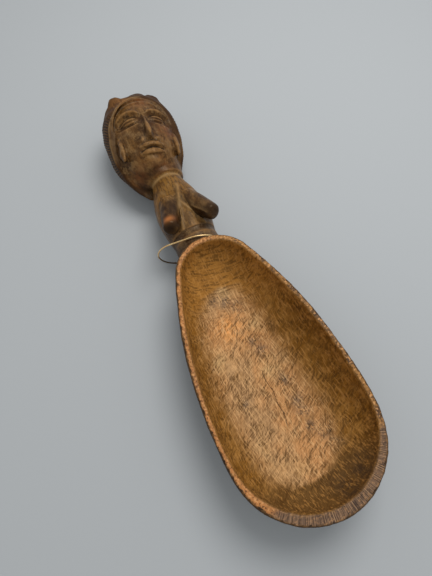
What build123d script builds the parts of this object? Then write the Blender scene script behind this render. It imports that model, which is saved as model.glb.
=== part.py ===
from build123d import *
from math import acos, asin, cos, degrees, pi, radians, sin, sqrt
import os

# A figural wooden spoon lying on its back, with a loose wire loop round its waist.
# +Y runs from the lip of the bowl to the crown of the head, +Z is up out of the bowl.
# The origin is under the middle of the spoon, on the surface that it lies on. Millimetres.

# Lengths along the spoon
bowl_length = 199.0
bust_length = 69.0
head_length = 92.0

# Bowl, an egg in plan with a level rim
rim_height = 45.0
bowl_end_radius = 50.3
bowl_tip_radius = 30.2
bowl_side_radius = 301.0
deepest_from_lip = 86.0
foot_half_width = 15.0
floor_half_width = 6.0
side_wall = 3.6
lip_wall = 7.5
tip_wall = 5.0
floor_thickness = 8.0
rim_bevel = 0.9
bowl_fullness = 2.3
bowl_levels = 8

# Waist, torso and neck
waist_radius = 17.5
waist_height = 23.0
waist_length = 22.0
root_length = 44.0
root_radius = 9.0
root_height = 20.0
torso_half_width = 20.5
torso_half_depth = 18.5
torso_height = 24.5
torso_from_tip = 34.0
shoulder_half_width = 17.0
shoulder_half_depth = 16.0
shoulder_height = 25.5
shoulder_from_tip = 54.0
neck_half_width = 12.4
neck_half_depth = 12.5
neck_height = 26.0
neck_length = 12.0

# Breasts, blunt cones that point down and out
breast_length = 34.0
breast_root_radius = 8.6
breast_tip_radius = 6.2
breast_bevel = 1.8
breast_sides = 16
breast_root_from_tip = 42.0
breast_root_apart = 14.0
breast_root_height = 35.0
breast_spread = 17.5
breast_rise = 23.5

# How the head sits on the neck
head_lean = 7.0
head_turn = 10.0
head_shift = 7.2
head_wear = 0.6

# Thick neck between the chest and the head
throat_height = 25.0
throat_half_width = 15.5
throat_half_depth = 15.5
swell_from_chest = 15.0
swell_half_width = 23.0
swell_half_depth = 18.5
throat_length = 46.0
throat_top_half_width = 28.0
throat_top_half_depth = 23.0
throat_offset = 5.0

# Hair cap, an egg turned round the length of the head
hair_crown_radius = 31.8
nape_radius = 15.0
hair_side_radius = 95.0
head_half_depth = 29.0
hair_bands = 12
nape_overhang = 14.5
hair_edge_forward = 9.0
hair_edge_slope = 6.0
hairline_from_crown = 19.0
opening_half_width = 24.5
hair_side_from_crown = 32.0
nape_edge_forward = 20.0
nape_edge_slope = 24.0
crest_length = 25.0
crest_width = 18.0
crest_height = 16.0
crest_apart = 27.0
crest_from_crown = 18.0
crest_forward = 13.0

# Ears, set on the sides of the face
ear_length = 27.0
ear_width = 13.0
ear_thickness = 7.0
ear_edge = 2.0
ear_hollow = 1.8
ear_from_crown = 62.0
ear_forward = 9.0
ear_sink = 0.8

# Face, an egg set into the cap, with its features on the usual proportions of a head
face_crown_radius = 29.0
jaw_radius = 21.5
face_side_radius = 120.0
face_half_depth = 26.0
face_tilt = 6.0
chin_from_neck = 1.0
forehead_from_crown = 4.5
eye_from_crown = 45.0
eye_apart = 25.0
eye_length = 15.0
eye_height = 8.0
eye_thickness = 8.0
socket_length = 26.0
socket_radius = 10.0
socket_depth = 3.2
nose_length = 24.0
nose_half_width = 7.0
nose_rise = 9.0
bridge_half_width = 3.6
bridge_rise = 3.0
mouth_from_crown = 75.0
mouth_width = 20.0
mouth_line = 0.7
lip_height = 5.2
lip_rise = 3.0

# Knife cuts: stations along a small carved swelling, how full it is at each, and its sides
knife_cuts = ((-1.0, 0.3), (-0.5, 0.85), (0.0, 1.0), (0.5, 0.85), (1.0, 0.3))
knife_sides = 10

# Wire loop
wire_diameter = 1.2
wire_sides = 8
loop_clearance = 0.4
loop_reach = 32.4
loop_end_radius = 15.9
loop_droop = 9.0
loop_yaw = 16.0
loop_from_tip = 3.2
lap_gap = 0.25
lap_angle = 45.0

# Stations that follow from the lengths
leaning_length = head_length * cos(radians(head_lean))
overall_length = bowl_length + bust_length + leaning_length
lip_y = -overall_length / 2
tip_y = lip_y + bowl_length
neck_y = tip_y + bust_length
deepest_y = lip_y + deepest_from_lip
head_middle = head_length / 2


def egg_centres(end_radius, tip_radius, side_radius, low_y, high_y):
    """Centres of the three arcs of an egg with its broad end at low_y and its tip at high_y."""
    end_centre = Vector(0, low_y + end_radius)
    tip_centre = Vector(0, high_y - tip_radius)
    span = tip_centre.Y - end_centre.Y
    to_end = side_radius - end_radius
    to_tip = side_radius - tip_radius
    along = (to_end**2 - to_tip**2 + span**2) / (2 * span)
    return end_centre, tip_centre, Vector(-sqrt(to_end**2 - along**2), end_centre.Y + along)


def egg_joints(end_radius, tip_radius, side_radius, low_y, high_y):
    """Points where the side arc meets the arcs of the two ends."""
    end_centre, tip_centre, side_centre = egg_centres(end_radius, tip_radius, side_radius, low_y, high_y)
    low_joint = end_centre + (end_centre - side_centre).normalized() * end_radius
    high_joint = tip_centre + (tip_centre - side_centre).normalized() * tip_radius
    return low_joint, high_joint


def egg_half_width(y, end_radius, tip_radius, side_radius, low_y, high_y):
    """Half the width of an egg at one station."""
    sizes = (end_radius, tip_radius, side_radius, low_y, high_y)
    end_centre, tip_centre, side_centre = egg_centres(*sizes)
    low_joint, high_joint = egg_joints(*sizes)
    if y < low_joint.Y:
        return sqrt(end_radius**2 - (y - end_centre.Y) ** 2)
    if y > high_joint.Y:
        return sqrt(tip_radius**2 - (y - tip_centre.Y) ** 2)
    return side_centre.X + sqrt(side_radius**2 - (y - side_centre.Y) ** 2)


def egg_edges(end_radius, tip_radius, side_radius, low_y, high_y):
    """Right half of an egg of tangent arcs, from its broad end to its tip."""
    sizes = (end_radius, tip_radius, side_radius, low_y, high_y)
    end_centre, tip_centre, side_centre = egg_centres(*sizes)
    low_joint, high_joint = egg_joints(*sizes)
    low, high = Vector(0, low_y), Vector(0, high_y)

    def arc(start, stop, centre, radius):
        middle = centre + ((start + stop) / 2 - centre).normalized() * radius
        return ThreePointArc(start, middle, stop)

    return [
        arc(low, low_joint, end_centre, end_radius),
        arc(low_joint, high_joint, side_centre, side_radius),
        arc(high_joint, high, tip_centre, tip_radius),
    ]


def egg_face(*sizes):
    """The whole egg as a flat face at height zero."""
    half = egg_edges(*sizes)
    return make_face(half + [edge.mirror(Plane.YZ) for edge in half])


def bowl_form(end_radius, tip_radius, side_radius, low_y, high_y, bottom, bottom_half_width):
    """A rounded bowl shape: eggs that shrink towards the deepest point, down to a flat bottom."""
    power = 2 / bowl_fullness
    last_turn = acos((bottom_half_width / end_radius) ** (1 / power))
    faces = []
    for level in range(bowl_levels):
        turn = last_turn * level / (bowl_levels - 1)
        share = cos(turn) ** power
        drop = (sin(turn) / sin(last_turn)) ** power
        egg = egg_face(
            end_radius * share,
            tip_radius * share,
            side_radius * share,
            deepest_y + (low_y - deepest_y) * share,
            deepest_y + (high_y - deepest_y) * share,
        )
        faces.append(Pos(0, 0, rim_height - (rim_height - bottom) * drop) * egg)
    return loft(faces), faces[0]


def across(y, z, half_width, half_depth, x=0):
    """An upright ellipse across the spoon at station y."""
    return Plane((x, y, z), x_dir=(1, 0, 0), z_dir=(0, 1, 0)) * Ellipse(half_width, half_depth)


def swelling(length_x, length_y, length_z):
    """A knife-cut ellipsoid by its three full lengths, with its stations along Y."""
    sections = []
    for station, fullness in knife_cuts:
        outline = []
        for side in range(knife_sides):
            turn = 2 * pi * side / knife_sides
            outline.append((fullness * length_x / 2 * cos(turn), fullness * length_z / 2 * sin(turn)))
        plane = Plane((0, station * length_y / 2, 0), x_dir=(1, 0, 0), z_dir=(0, 1, 0))
        sections.append(plane * Polygon(*outline, align=None))
    return loft(sections, ruled=True)


def roof(point, height, rise):
    """An upright section through a lip, with its ridge above a point of the face."""
    plane = Plane(point, x_dir=(0, 1, 0), z_dir=(1, 0, 0))
    side = height / 2
    eaves = rise / 2
    outline = ((-side, -rise), (side, -rise), (side, eaves), (0, rise), (-side, eaves))
    return plane * Polygon(*outline, align=None)


def wedge(point, half_width, rise):
    """A triangle across the face with its ridge at a height above a point."""
    plane = Plane(point, x_dir=(1, 0, 0), z_dir=(0, 1, 0))
    return plane * Polygon((-half_width, rise), (half_width, rise), (0, -rise), align=None)


def both_sides(shape):
    """A shape and its mirror image on the other side of the spoon."""
    return shape + mirror(shape, Plane.YZ)


def bust():
    """Root under the bowl, round waist, torso and neck."""
    waist_start = tip_y - waist_length / 2
    waist_end = tip_y + waist_length / 2
    waist = Plane((0, waist_start, waist_height), z_dir=(0, 1, 0)) * Cylinder(
        waist_radius, waist_length, align=(Align.CENTER, Align.CENTER, Align.MIN)
    )
    root = loft(
        [
            across(waist_start - root_length, root_height, root_radius, root_radius),
            across(waist_start, waist_height, waist_radius, waist_radius),
        ]
    )
    torso = loft(
        [
            across(waist_end, waist_height, waist_radius, waist_radius),
            across(tip_y + torso_from_tip, torso_height, torso_half_width, torso_half_depth),
            across(tip_y + shoulder_from_tip, shoulder_height, shoulder_half_width, shoulder_half_depth),
            across(neck_y, neck_height, neck_half_width, neck_half_depth),
            across(neck_y + neck_length, neck_height, neck_half_width, neck_half_depth),
        ]
    )
    return waist + root + torso


def breasts():
    """Two blunt cones, hung from the upper chest."""
    spread = sin(radians(breast_spread))
    rise = sin(radians(breast_rise))
    pointing = Vector(spread, -sqrt(1 - spread**2 - rise**2), rise)
    root = Vector(breast_root_apart / 2, tip_y + breast_root_from_tip, breast_root_height)
    slope = (breast_root_radius - breast_tip_radius) / breast_length
    rings = (
        (0, breast_root_radius),
        (breast_length - breast_bevel, breast_tip_radius + slope * breast_bevel),
        (breast_length, breast_tip_radius - breast_bevel),
    )
    sections = [Pos(0, 0, along) * RegularPolygon(radius, breast_sides) for along, radius in rings]
    return both_sides(Plane(root, z_dir=pointing) * loft(sections, ruled=True))


def widest(sizes):
    """Half the width of an egg where it is broadest along its side."""
    return egg_half_width(egg_centres(*sizes)[2].Y, *sizes)


def turned_egg(sizes, half_depth):
    """An egg spun round the length of the head, broad end at the crown, and flattened to its depth."""
    half = egg_edges(*sizes)
    low_y, high_y = sizes[-2:]
    solid = revolve(make_face(half + [Line((0, high_y), (0, low_y))]), Axis.Y, 360)
    return mirror(scale(solid, by=(1, 1, half_depth / widest(sizes))), Plane.XZ)


def banded_egg(sizes, half_depth):
    """An egg cut in straight bands across the head, broad end at the crown."""
    bottom, crown = -sizes[-1], -sizes[-2]
    share = half_depth / widest(sizes)
    rings = []
    for band in range(1, hair_bands):
        y = bottom + (crown - bottom) * (1 - cos(pi * band / hair_bands)) / 2
        half_width = egg_half_width(-y, *sizes)
        rings.append(across(y, 0, half_width, half_width * share))
    return loft([Vertex(0, bottom, 0), *rings, Vertex(0, crown, 0)], ruled=True)


def hair_edge(y, forward, slope):
    """Plane of the front edge of the hair, leaning back towards the nape."""
    lean = radians(slope)
    return Plane((0, y, forward), x_dir=(1, 0, 0), z_dir=(0, -sin(lean), cos(lean)))


def hair():
    """Hair cap, open round the face and cut back behind the ears, with two crests over the hairline."""
    cap = banded_egg(
        (hair_crown_radius, nape_radius, hair_side_radius, -head_length, nape_overhang), head_half_depth
    )
    arch_y = head_length - hairline_from_crown - opening_half_width
    opening = Circle(opening_half_width)
    opening += Rectangle(2 * opening_half_width, head_length, align=(Align.CENTER, Align.MAX))
    round_face = hair_edge(arch_y, hair_edge_forward, hair_edge_slope) * opening
    lower_half = Rectangle(2 * head_length, 2 * head_length, align=(Align.CENTER, Align.MAX))
    side_y = head_length - hair_side_from_crown
    behind_ears = hair_edge(side_y, nape_edge_forward, nape_edge_slope) * lower_half
    cap -= extrude(round_face, 2 * head_half_depth) + extrude(behind_ears, 2 * head_half_depth)
    crest = swelling(crest_width, crest_length, crest_height)
    return cap + both_sides(Pos(crest_apart / 2, head_length - crest_from_crown, crest_forward) * crest)


def face():
    """Skull and jaw with eyes in their sockets, nose, lips and long scooped ears."""
    sizes = (
        face_crown_radius, jaw_radius, face_side_radius, forehead_from_crown - head_length, -chin_from_neck
    )
    form = turned_egg(sizes, face_half_depth)
    share = face_half_depth / widest(sizes)

    def on_face(x, y):
        return Pos(x, y, share * sqrt(egg_half_width(-y, *sizes) ** 2 - x**2))

    def on_side(y, z):
        return Pos(sqrt(egg_half_width(-y, *sizes) ** 2 - (z / share) ** 2), y, z)

    eye_y = head_length - eye_from_crown
    eye = on_face(eye_apart / 2, eye_y)
    eye *= Rot(0, degrees(asin(eye_apart / 2 / egg_half_width(-eye_y, *sizes))), 0)
    socket = Rot(0, 90, 0) * Cylinder(socket_radius, socket_length)
    form -= both_sides(eye * Pos(0, 0, socket_radius - socket_depth) * socket)
    eyeball = Rot(0, 0, 90) * swelling(eye_height, eye_length, eye_thickness)
    form += both_sides(eye * Pos(0, 0, -socket_depth) * eyeball)
    bridge = on_face(0, eye_y).position
    wings = on_face(0, eye_y - nose_length).position
    form += loft([wedge(bridge, bridge_half_width, bridge_rise), wedge(wings, nose_half_width, nose_rise)])
    for side in (1, -1):
        mouth_y = head_length - mouth_from_crown + side * (lip_height + mouth_line) / 2
        stations = []
        for station, fullness in knife_cuts:
            point = on_face(station * mouth_width / 2, mouth_y).position
            stations.append(roof(point, fullness * lip_height, fullness * lip_rise))
        form += loft(stations, ruled=True)
    ear = swelling(ear_thickness, ear_length, ear_width)
    scoop = swelling(ear_thickness, ear_length - 2 * ear_edge, ear_width - 2 * ear_edge)
    ear -= Pos(ear_thickness - ear_hollow, 0, ear_edge) * scoop
    form += both_sides(on_side(head_length - ear_from_crown, ear_forward) * Pos(-ear_sink) * ear)
    return Pos(0, head_middle) * Rot(-face_tilt, 0, 0) * Pos(0, -head_middle) * form


def throat():
    """Thick neck that starts in a step over the chest and swells up into the head."""
    return loft(
        [
            across(neck_y, throat_height, throat_half_width, throat_half_depth),
            across(
                neck_y + swell_from_chest, throat_height, swell_half_width, swell_half_depth, -throat_offset
            ),
            across(
                neck_y + throat_length,
                throat_height,
                throat_top_half_width,
                throat_top_half_depth,
                -throat_offset,
            ),
        ]
    )


def head():
    """Neck, face, hair and ears, set a little askew, with the back of the hair worn flat."""
    place = Pos(-head_shift, neck_y, head_half_depth - head_wear)
    carving = face() + hair()
    whole = place * Rot(0, head_turn, 0) * Rot(0, 0, -head_lean) * carving + throat()
    below = (Align.CENTER, Align.CENTER, Align.MAX)
    return whole - Box(overall_length, 2 * overall_length, head_half_depth, align=below)


def carved_spoon():
    """Bowl, bust and head, one piece of wood."""
    outside, _ = bowl_form(
        bowl_end_radius, bowl_tip_radius, bowl_side_radius, lip_y, tip_y, 0, foot_half_width
    )
    hollow, mouth = bowl_form(
        bowl_end_radius - side_wall,
        bowl_tip_radius - side_wall,
        bowl_side_radius - side_wall,
        lip_y + lip_wall,
        tip_y - tip_wall,
        floor_thickness,
        floor_half_width,
    )
    wood = outside + bust() - hollow - extrude(mouth, rim_height)
    rim = wood.faces().filter_by(Axis.Z).sort_by(Axis.Z)[-1]
    wood = chamfer(rim.edges(), rim_bevel)
    return wood + breasts() + head()


def wire_loop():
    """One wire round the waist, its slack to the left and its ends lapped underneath."""
    wire_radius = wire_diameter / 2
    seat = (waist_radius + loop_clearance + wire_radius) / cos(radians(loop_yaw))
    outer = seat + wire_diameter + lap_gap
    end_distance = loop_reach - loop_end_radius
    towards_end = 180 + loop_droop
    end_centre = Vector(end_distance, 0).rotate(Axis.Z, towards_end)
    upper = towards_end - degrees(acos((seat - loop_end_radius) / end_distance))
    lower = towards_end + degrees(acos((outer - loop_end_radius) / end_distance))
    inner_turn = CenterArc((0, 0), seat, lower - 360, upper - lower + 360)
    end_turn = CenterArc(end_centre, loop_end_radius, upper, lower - upper)
    outer_turn = CenterArc((0, 0), outer, lower, lap_angle)
    yaw = radians(loop_yaw)
    plane = Plane(
        (0, tip_y + loop_from_tip, waist_height),
        x_dir=(cos(yaw), -sin(yaw), 0),
        z_dir=(-sin(yaw), -cos(yaw), 0),
    )
    route = plane * Wire(
        [
            inner_turn,
            Line(inner_turn @ 1, end_turn @ 0),
            end_turn,
            Line(end_turn @ 1, outer_turn @ 0),
            outer_turn,
        ]
    )
    section = RegularPolygon(wire_radius, wire_sides)
    return sweep(Plane(route @ 0, z_dir=route % 0) * section, path=route)


os.makedirs("parts", exist_ok=True)
export_step(carved_spoon(), "parts/carved_spoon.step")
export_step(wire_loop(), "parts/wire_loop.step")
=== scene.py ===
# %% [markdown]
# # A carved spoon with a bust for a handle
# The spoon is cut from one piece of wood: a deep egg-shaped bowl, a waist, a bust and a capped head.
# A thin wire hangs loosely round the waist. The solids come in as a fixed frame, and this lesson
# gives the wood its tool marks, its worn edges and its colours, and the wire its round section.

# %% Load the frame
from functools import partial
from math import acos, cos, degrees, pi, radians, sin
from types import SimpleNamespace

import bmesh
import bpy
import numpy as np
from mathutils import Matrix, Vector


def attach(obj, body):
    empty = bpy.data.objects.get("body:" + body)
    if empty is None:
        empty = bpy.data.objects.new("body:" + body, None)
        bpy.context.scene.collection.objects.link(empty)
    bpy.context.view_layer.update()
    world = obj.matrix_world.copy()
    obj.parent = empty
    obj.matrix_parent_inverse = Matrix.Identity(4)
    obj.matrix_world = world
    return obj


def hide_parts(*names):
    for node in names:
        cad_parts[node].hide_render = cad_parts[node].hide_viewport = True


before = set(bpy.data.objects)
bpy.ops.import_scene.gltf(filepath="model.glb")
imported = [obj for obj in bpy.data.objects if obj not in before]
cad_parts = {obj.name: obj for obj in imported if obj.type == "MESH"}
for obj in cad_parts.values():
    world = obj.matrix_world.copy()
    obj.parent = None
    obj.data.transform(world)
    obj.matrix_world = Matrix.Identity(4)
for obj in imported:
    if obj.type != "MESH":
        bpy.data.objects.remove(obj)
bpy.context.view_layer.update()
scene = bpy.context.scene
MM = 0.001

# %% [markdown]
# ## Camera
# The photo looks down on the spoon from beside the bowl, close up, so the near end looks large.
# A short lens near the object gives the same strong perspective. The place and the angles come
# from fitting the outline of the level rim.

# %% Camera
lens, sensor = 27.04, 36
camera_place = Vector((-58.5, -130.7, 315.6)) * MM
looking_down, looking_right = radians(66), radians(25.3)

camera_data = bpy.data.cameras.new("camera")
camera_data.lens = lens
camera_data.sensor_width = sensor
camera_data.clip_start = 10 * MM
camera = bpy.data.objects.new("camera", camera_data)
scene.collection.objects.link(camera)
level = cos(looking_down)
forward = Vector((sin(looking_right) * level, cos(looking_right) * level, -sin(looking_down)))
camera.location = camera_place
camera.rotation_euler = forward.to_track_quat("-Z", "Y").to_euler()
scene.camera = camera
scene.view_settings.view_transform = "Standard"
print("camera", [round(value, 4) for value in camera.location], "lens", lens)

# %% [markdown]
# ## Node helpers
# Materials and geometry trees are both made of nodes, so a few short helpers serve both. Each one
# adds a node, plugs in what it is given and hands back the socket with the result.

# %% Node helpers
def plug(tree, value, socket):
    """A socket is linked, a plain value is written in."""
    if isinstance(value, bpy.types.NodeSocket):
        tree.links.new(value, socket)
    else:
        socket.default_value = value


def maths(tree, operation, *values):
    node = tree.nodes.new("ShaderNodeMath")
    node.operation = operation
    for value, socket in zip(values, node.inputs):
        plug(tree, value, socket)
    return node.outputs[0]


def times(tree, first, *others):
    """One amount times all the others."""
    for other in others:
        first = maths(tree, "MULTIPLY", first, other)
    return first


def vectors(tree, operation, first, second, output=0):
    node = tree.nodes.new("ShaderNodeVectorMath")
    node.operation = operation
    plug(tree, first, node.inputs[0])
    plug(tree, second, node.inputs["Scale"] if operation == "SCALE" else node.inputs[1])
    return node.outputs[output]


def between(tree, value, low, high, to_low=0.0, to_high=1.0):
    """Carries a value from one range over to another, and stops at the ends."""
    node = tree.nodes.new("ShaderNodeMapRange")
    node.interpolation_type = "SMOOTHSTEP"
    for given, socket in zip((value, low, high, to_low, to_high), node.inputs):
        plug(tree, given, socket)
    return node.outputs[0]


def cloud(tree, where, size, detail=3.0, roughness=0.5, stretch=None, turn=0.0):
    """Soft noise with patches of about one size in metres, longer where stretch is above 1."""
    if turn:
        spin = tree.nodes.new("ShaderNodeVectorRotate")
        plug(tree, where, spin.inputs["Vector"])
        spin.inputs["Angle"].default_value = radians(turn)
        where = spin.outputs[0]
    if stretch:
        where = vectors(tree, "DIVIDE", where, stretch)
    a_socket = isinstance(size, bpy.types.NodeSocket)
    node = tree.nodes.new("ShaderNodeTexNoise")
    plug(tree, where, node.inputs["Vector"])
    plug(tree, maths(tree, "DIVIDE", 1.0, size) if a_socket else 1 / size, node.inputs["Scale"])
    node.inputs["Detail"].default_value = detail
    node.inputs["Roughness"].default_value = roughness
    return node.outputs[0]


print("node helpers ready")

# %% [markdown]
# ## Floor and light
# The object lies on a plain pale surface under a large soft light, a little to the right of it, so
# the shadow falls to the left and under the bowl. A weak even world light fills the shadows. Together
# they are just bright enough that the floor's colour renders as it is written.

# %% Floor
floor_colour = (0.435, 0.450, 0.457, 1)
floor_reach = 3.0


def floor_finish():
    material = bpy.data.materials.new("pale_floor")
    material.use_nodes = True
    shader = material.node_tree.nodes["Principled BSDF"]
    shader.inputs["Base Color"].default_value = floor_colour
    shader.inputs["Roughness"].default_value = 0.75
    shader.inputs["Specular IOR Level"].default_value = 0.2
    return material


signs = ((-1, -1), (1, -1), (1, 1), (-1, 1))
floor_mesh = bpy.data.meshes.new("floor")
floor_mesh.from_pydata([(x * floor_reach, y * floor_reach, 0) for x, y in signs], [], [(0, 1, 2, 3)])
floor_mesh.materials.append(floor_finish())
floor = bpy.data.objects.new("floor", floor_mesh)
scene.collection.objects.link(floor)
print("floor reaches", floor_reach, "m to each side")

# %% Light
lamp_place, lamp_size, lamp_power = Vector((0.28, 0.20, 0.80)), 0.55, 4.5
room_colour, room_strength = (0.95, 0.98, 1.0, 1), 0.54

lamp_data = bpy.data.lights.new("overhead", "AREA")
lamp_data.shape = "DISK"
lamp_data.size = lamp_size
lamp_data.energy = lamp_power
lamp = bpy.data.objects.new("overhead", lamp_data)
scene.collection.objects.link(lamp)
lamp.location = lamp_place
lamp.rotation_euler = (-lamp_place).to_track_quat("-Z", "Y").to_euler()
world = bpy.data.worlds.new("room")
world.use_nodes = True
world.node_tree.nodes["Background"].inputs["Color"].default_value = room_colour
world.node_tree.nodes["Background"].inputs["Strength"].default_value = room_strength
scene.world = world
print("lamp of", lamp_power, "W and room light at", room_strength)

# %% [markdown]
# ## An even skin for the wood
# The solid's own mesh has long thin triangles, which can't hold carving. Subdividing them would only
# make more thin triangles. A voxel remesh lays an even net over the same form, fine enough for tool
# marks of a millimetre or two. The copy is welded first, because the remesh needs a closed surface.

# %% Even skin
def made_plain(piece):
    """Turns the piece with its modifiers into a plain mesh."""
    ready = piece.evaluated_get(bpy.context.evaluated_depsgraph_get())
    mesh = bpy.data.meshes.new_from_object(ready)
    piece.modifiers.clear()
    piece.data = mesh


def welded_copy(node, name):
    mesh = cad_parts[node].data.copy()
    form = bmesh.new()
    form.from_mesh(mesh)
    bmesh.ops.remove_doubles(form, verts=form.verts, dist=1e-6)
    open_edges = sum(not edge.is_manifold for edge in form.edges)
    form.to_mesh(mesh)
    form.free()
    piece = bpy.data.objects.new(name, mesh)
    scene.collection.objects.link(piece)
    print(name, "welded:", len(mesh.vertices), "points,", open_edges, "open edges")
    return piece


skin_step = 0.6 * MM
wood = welded_copy("carved_spoon", "carved_wood")
net = wood.modifiers.new("even_skin", "REMESH")
net.mode = "VOXEL"
net.voxel_size = skin_step
made_plain(wood)
print("even skin:", len(wood.data.vertices), "points")

# %% [markdown]
# ## Where is what
# Carving and colour both depend on the place: inside the bowl, on the rim, in the hair, on the chest.
# The places could be painted on by hand. Here each one is worked out in millimetres from a point's
# position and the way that its surface faces, as an amount from 0 to 1 or as a distance, so that it
# stays right when the mesh changes.

# %% Reading points
def points_of(mesh):
    flat = np.empty(len(mesh.vertices) * 3, np.float32)
    mesh.vertices.foreach_get("co", flat)
    return flat.reshape(-1, 3).astype(np.float64) / MM


def facing_of(mesh):
    flat = np.empty(len(mesh.vertices) * 3, np.float32)
    mesh.vertex_normals.foreach_get("vector", flat)
    return flat.reshape(-1, 3).astype(np.float64)


def ramp(value, low, high):
    share = np.clip((value - low) / (high - low), 0, 1)
    return share * share * (3 - 2 * share)


def within(value, outer, inner):
    """1 nearer to nought than inner, and 0 further from it than outer."""
    return ramp(-np.abs(value), -outer, -inner)


def bell(value, middle, width):
    return np.exp(-(((value - middle) / width) ** 2))


print("readers ready for", len(wood.data.vertices), "points")

# %% Distance from a line
def from_line(points, corners):
    """Distance in plan from a line of straight runs, with a sign for its side, and the share along it."""
    best = np.full(len(points), 1e9)
    side = np.zeros(len(points))
    along = np.zeros(len(points))
    runs = list(zip(corners[:-1], corners[1:]))
    for number, (start, stop) in enumerate(runs):
        start, run = np.array(start), np.array(stop) - np.array(start)
        share = np.clip((points[:, :2] - start) @ run / (run @ run), 0, 1)
        gap = points[:, :2] - (start + share[:, None] * run)
        distance = np.hypot(gap[:, 0], gap[:, 1])
        nearer = distance < best
        best = np.where(nearer, distance, best)
        side = np.where(nearer, np.sign(run[0] * gap[:, 1] - run[1] * gap[:, 0]), side)
        along = np.where(nearer, (number + share) / len(runs), along)
    return best * side, along


print("a point 1 mm beside a line:", from_line(np.array([(1.0, 1.0, 0.0)]), [(0, 0), (0, 2)])[0])

# %% Head and bowl coordinates
bowl_tip, neck_step, rim_top = 19.34, 88.34, 45.0
head_place = np.array((-7.2, neck_step, 28.4))
head_turn = np.array(Matrix.Rotation(radians(7), 3, "Z") @ Matrix.Rotation(radians(-10), 3, "Y"))
face_tilt = np.array(Matrix.Rotation(radians(6), 3, "X"))
head_middle = np.array((0, 46.0, 0))
side_radius, side_x, side_y = 301, -250.25, -114.34
lip_radius, lip_y, lip_joint = 50.3, -129.35, -132.4
tip_radius, tip_y, tip_joint = 30.2, -10.86, 0.7


def in_head(points):
    """Head coordinates: x across, y from the neck to the crown, z forward out of the face."""
    return (points - head_place) @ head_turn.T


def in_face(points):
    return (in_head(points) - head_middle) @ face_tilt.T + head_middle


def past_plane(y, z, at_y, at_z, lean):
    """How far a point of the head stands in front of a leaning plane."""
    return -(y - at_y) * sin(radians(lean)) + (z - at_z) * cos(radians(lean))


def from_outline(points):
    """How far inside the bowl's outline in plan: two round ends joined by long side arcs."""
    x, y = np.abs(points[:, 0]), points[:, 1]
    side = side_radius - np.hypot(x - side_x, y - side_y)
    lip_end = lip_radius - np.hypot(x, y - lip_y)
    tip_end = tip_radius - np.hypot(x, y - tip_y)
    return np.where(y < lip_joint, lip_end, np.where(y > tip_joint, tip_end, side))


spots = points_of(wood.data)
print("crown of the head:", round(in_head(spots)[:, 1].max(), 1), "mm above the neck")

# %% Places on the spoon
arch_y, arch_z, arch_lean, arch_radius = 48.5, 9, 6, 24.5
nape_y, nape_z, nape_lean = 60, 20, 24


def places(points, facing):
    x, y, z = points.T
    hx, hy, hz = in_head(points).T
    bowl_air = np.stack((0 * x, np.clip(y, -140, -20), 70 + 0 * x), axis=1) - points
    inward = np.sum(bowl_air * facing, axis=1) / np.linalg.norm(bowl_air, axis=1)
    in_bowl = (y < bowl_tip - 3.8) * (np.abs(x) < 47.5)
    is_head = ramp(y, neck_step + 1, neck_step + 3)
    from_arch = np.where(hy < arch_y, np.abs(hx), np.hypot(hx, hy - arch_y))
    behind_arch = -past_plane(hy, hz, arch_y, arch_z, arch_lean)
    behind_border = np.maximum(from_arch - arch_radius, behind_arch)
    nape = past_plane(hy, hz, nape_y, nape_z, nape_lean)
    covered = np.maximum(ramp(from_arch, 23.6, 24.6), ramp(behind_arch, -0.6, 0.2))
    covered *= np.where(hy > nape_y, 1, ramp(-nape, -0.6, 0.2))
    hair = is_head * covered * ramp(hy, 0, 4)
    return {
        "hollow": ramp(inward, 0.05, 0.25) * ramp(-z, -rim_top, 0.6 - rim_top) * in_bowl,
        "rim": ramp(z, 43.4, 44.2) * ramp(facing[:, 2], 0.6, 0.9) * (y < bowl_tip + 1.5),
        "arch": bell(from_arch, arch_radius, 6.0) * ramp(hz, 4, 9) * is_head,
        "nape": nape,
        "border": np.where(hy > nape_y, behind_border, np.minimum(behind_border, -nape)),
        "hair": hair,
        "face": is_head * (1 - hair) * ramp(hz, 2, 8),
    }


here = places(spots, facing_of(wood.data))
print({name: int((amount > 0.5).sum()) for name, amount in here.items()})

# %% [markdown]
# ## Softening
# A carver's edges are never knife-sharp. A bevel can't find edges in an even net, but a few rounds of
# smoothing take the steps of the voxels and the hard edges out of it, more on the head than on the
# bowl, where the rim stays crisp. Some places are rubbed nearly round: the ledge below the ears, the
# nose, the hairline over the forehead, the step of the neck, the breast ends and the rim's outer
# edge. Many more rounds work on these alone.

# %% Softening helpers
def kept_amount(piece, name, amount, steps=20):
    """Keeps one number for each point as a vertex group."""
    group = piece.vertex_groups.new(name=name)
    level = np.round(np.clip(amount, 0, 1) * steps).astype(int)
    for step in range(steps + 1):
        group.add(np.nonzero(level == step)[0].tolist(), step / steps, "REPLACE")


def softened(piece, name, amount, rounds):
    kept_amount(piece, name, amount)
    smoothing = piece.modifiers.new(name, "SMOOTH")
    smoothing.factor = 0.5
    smoothing.iterations = rounds
    smoothing.vertex_group = name
    made_plain(piece)
    piece.vertex_groups.clear()
    print(name, "softened in", rounds, "rounds at", int((amount > 0.5).sum()), "points")


print("softening helpers ready")

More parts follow.
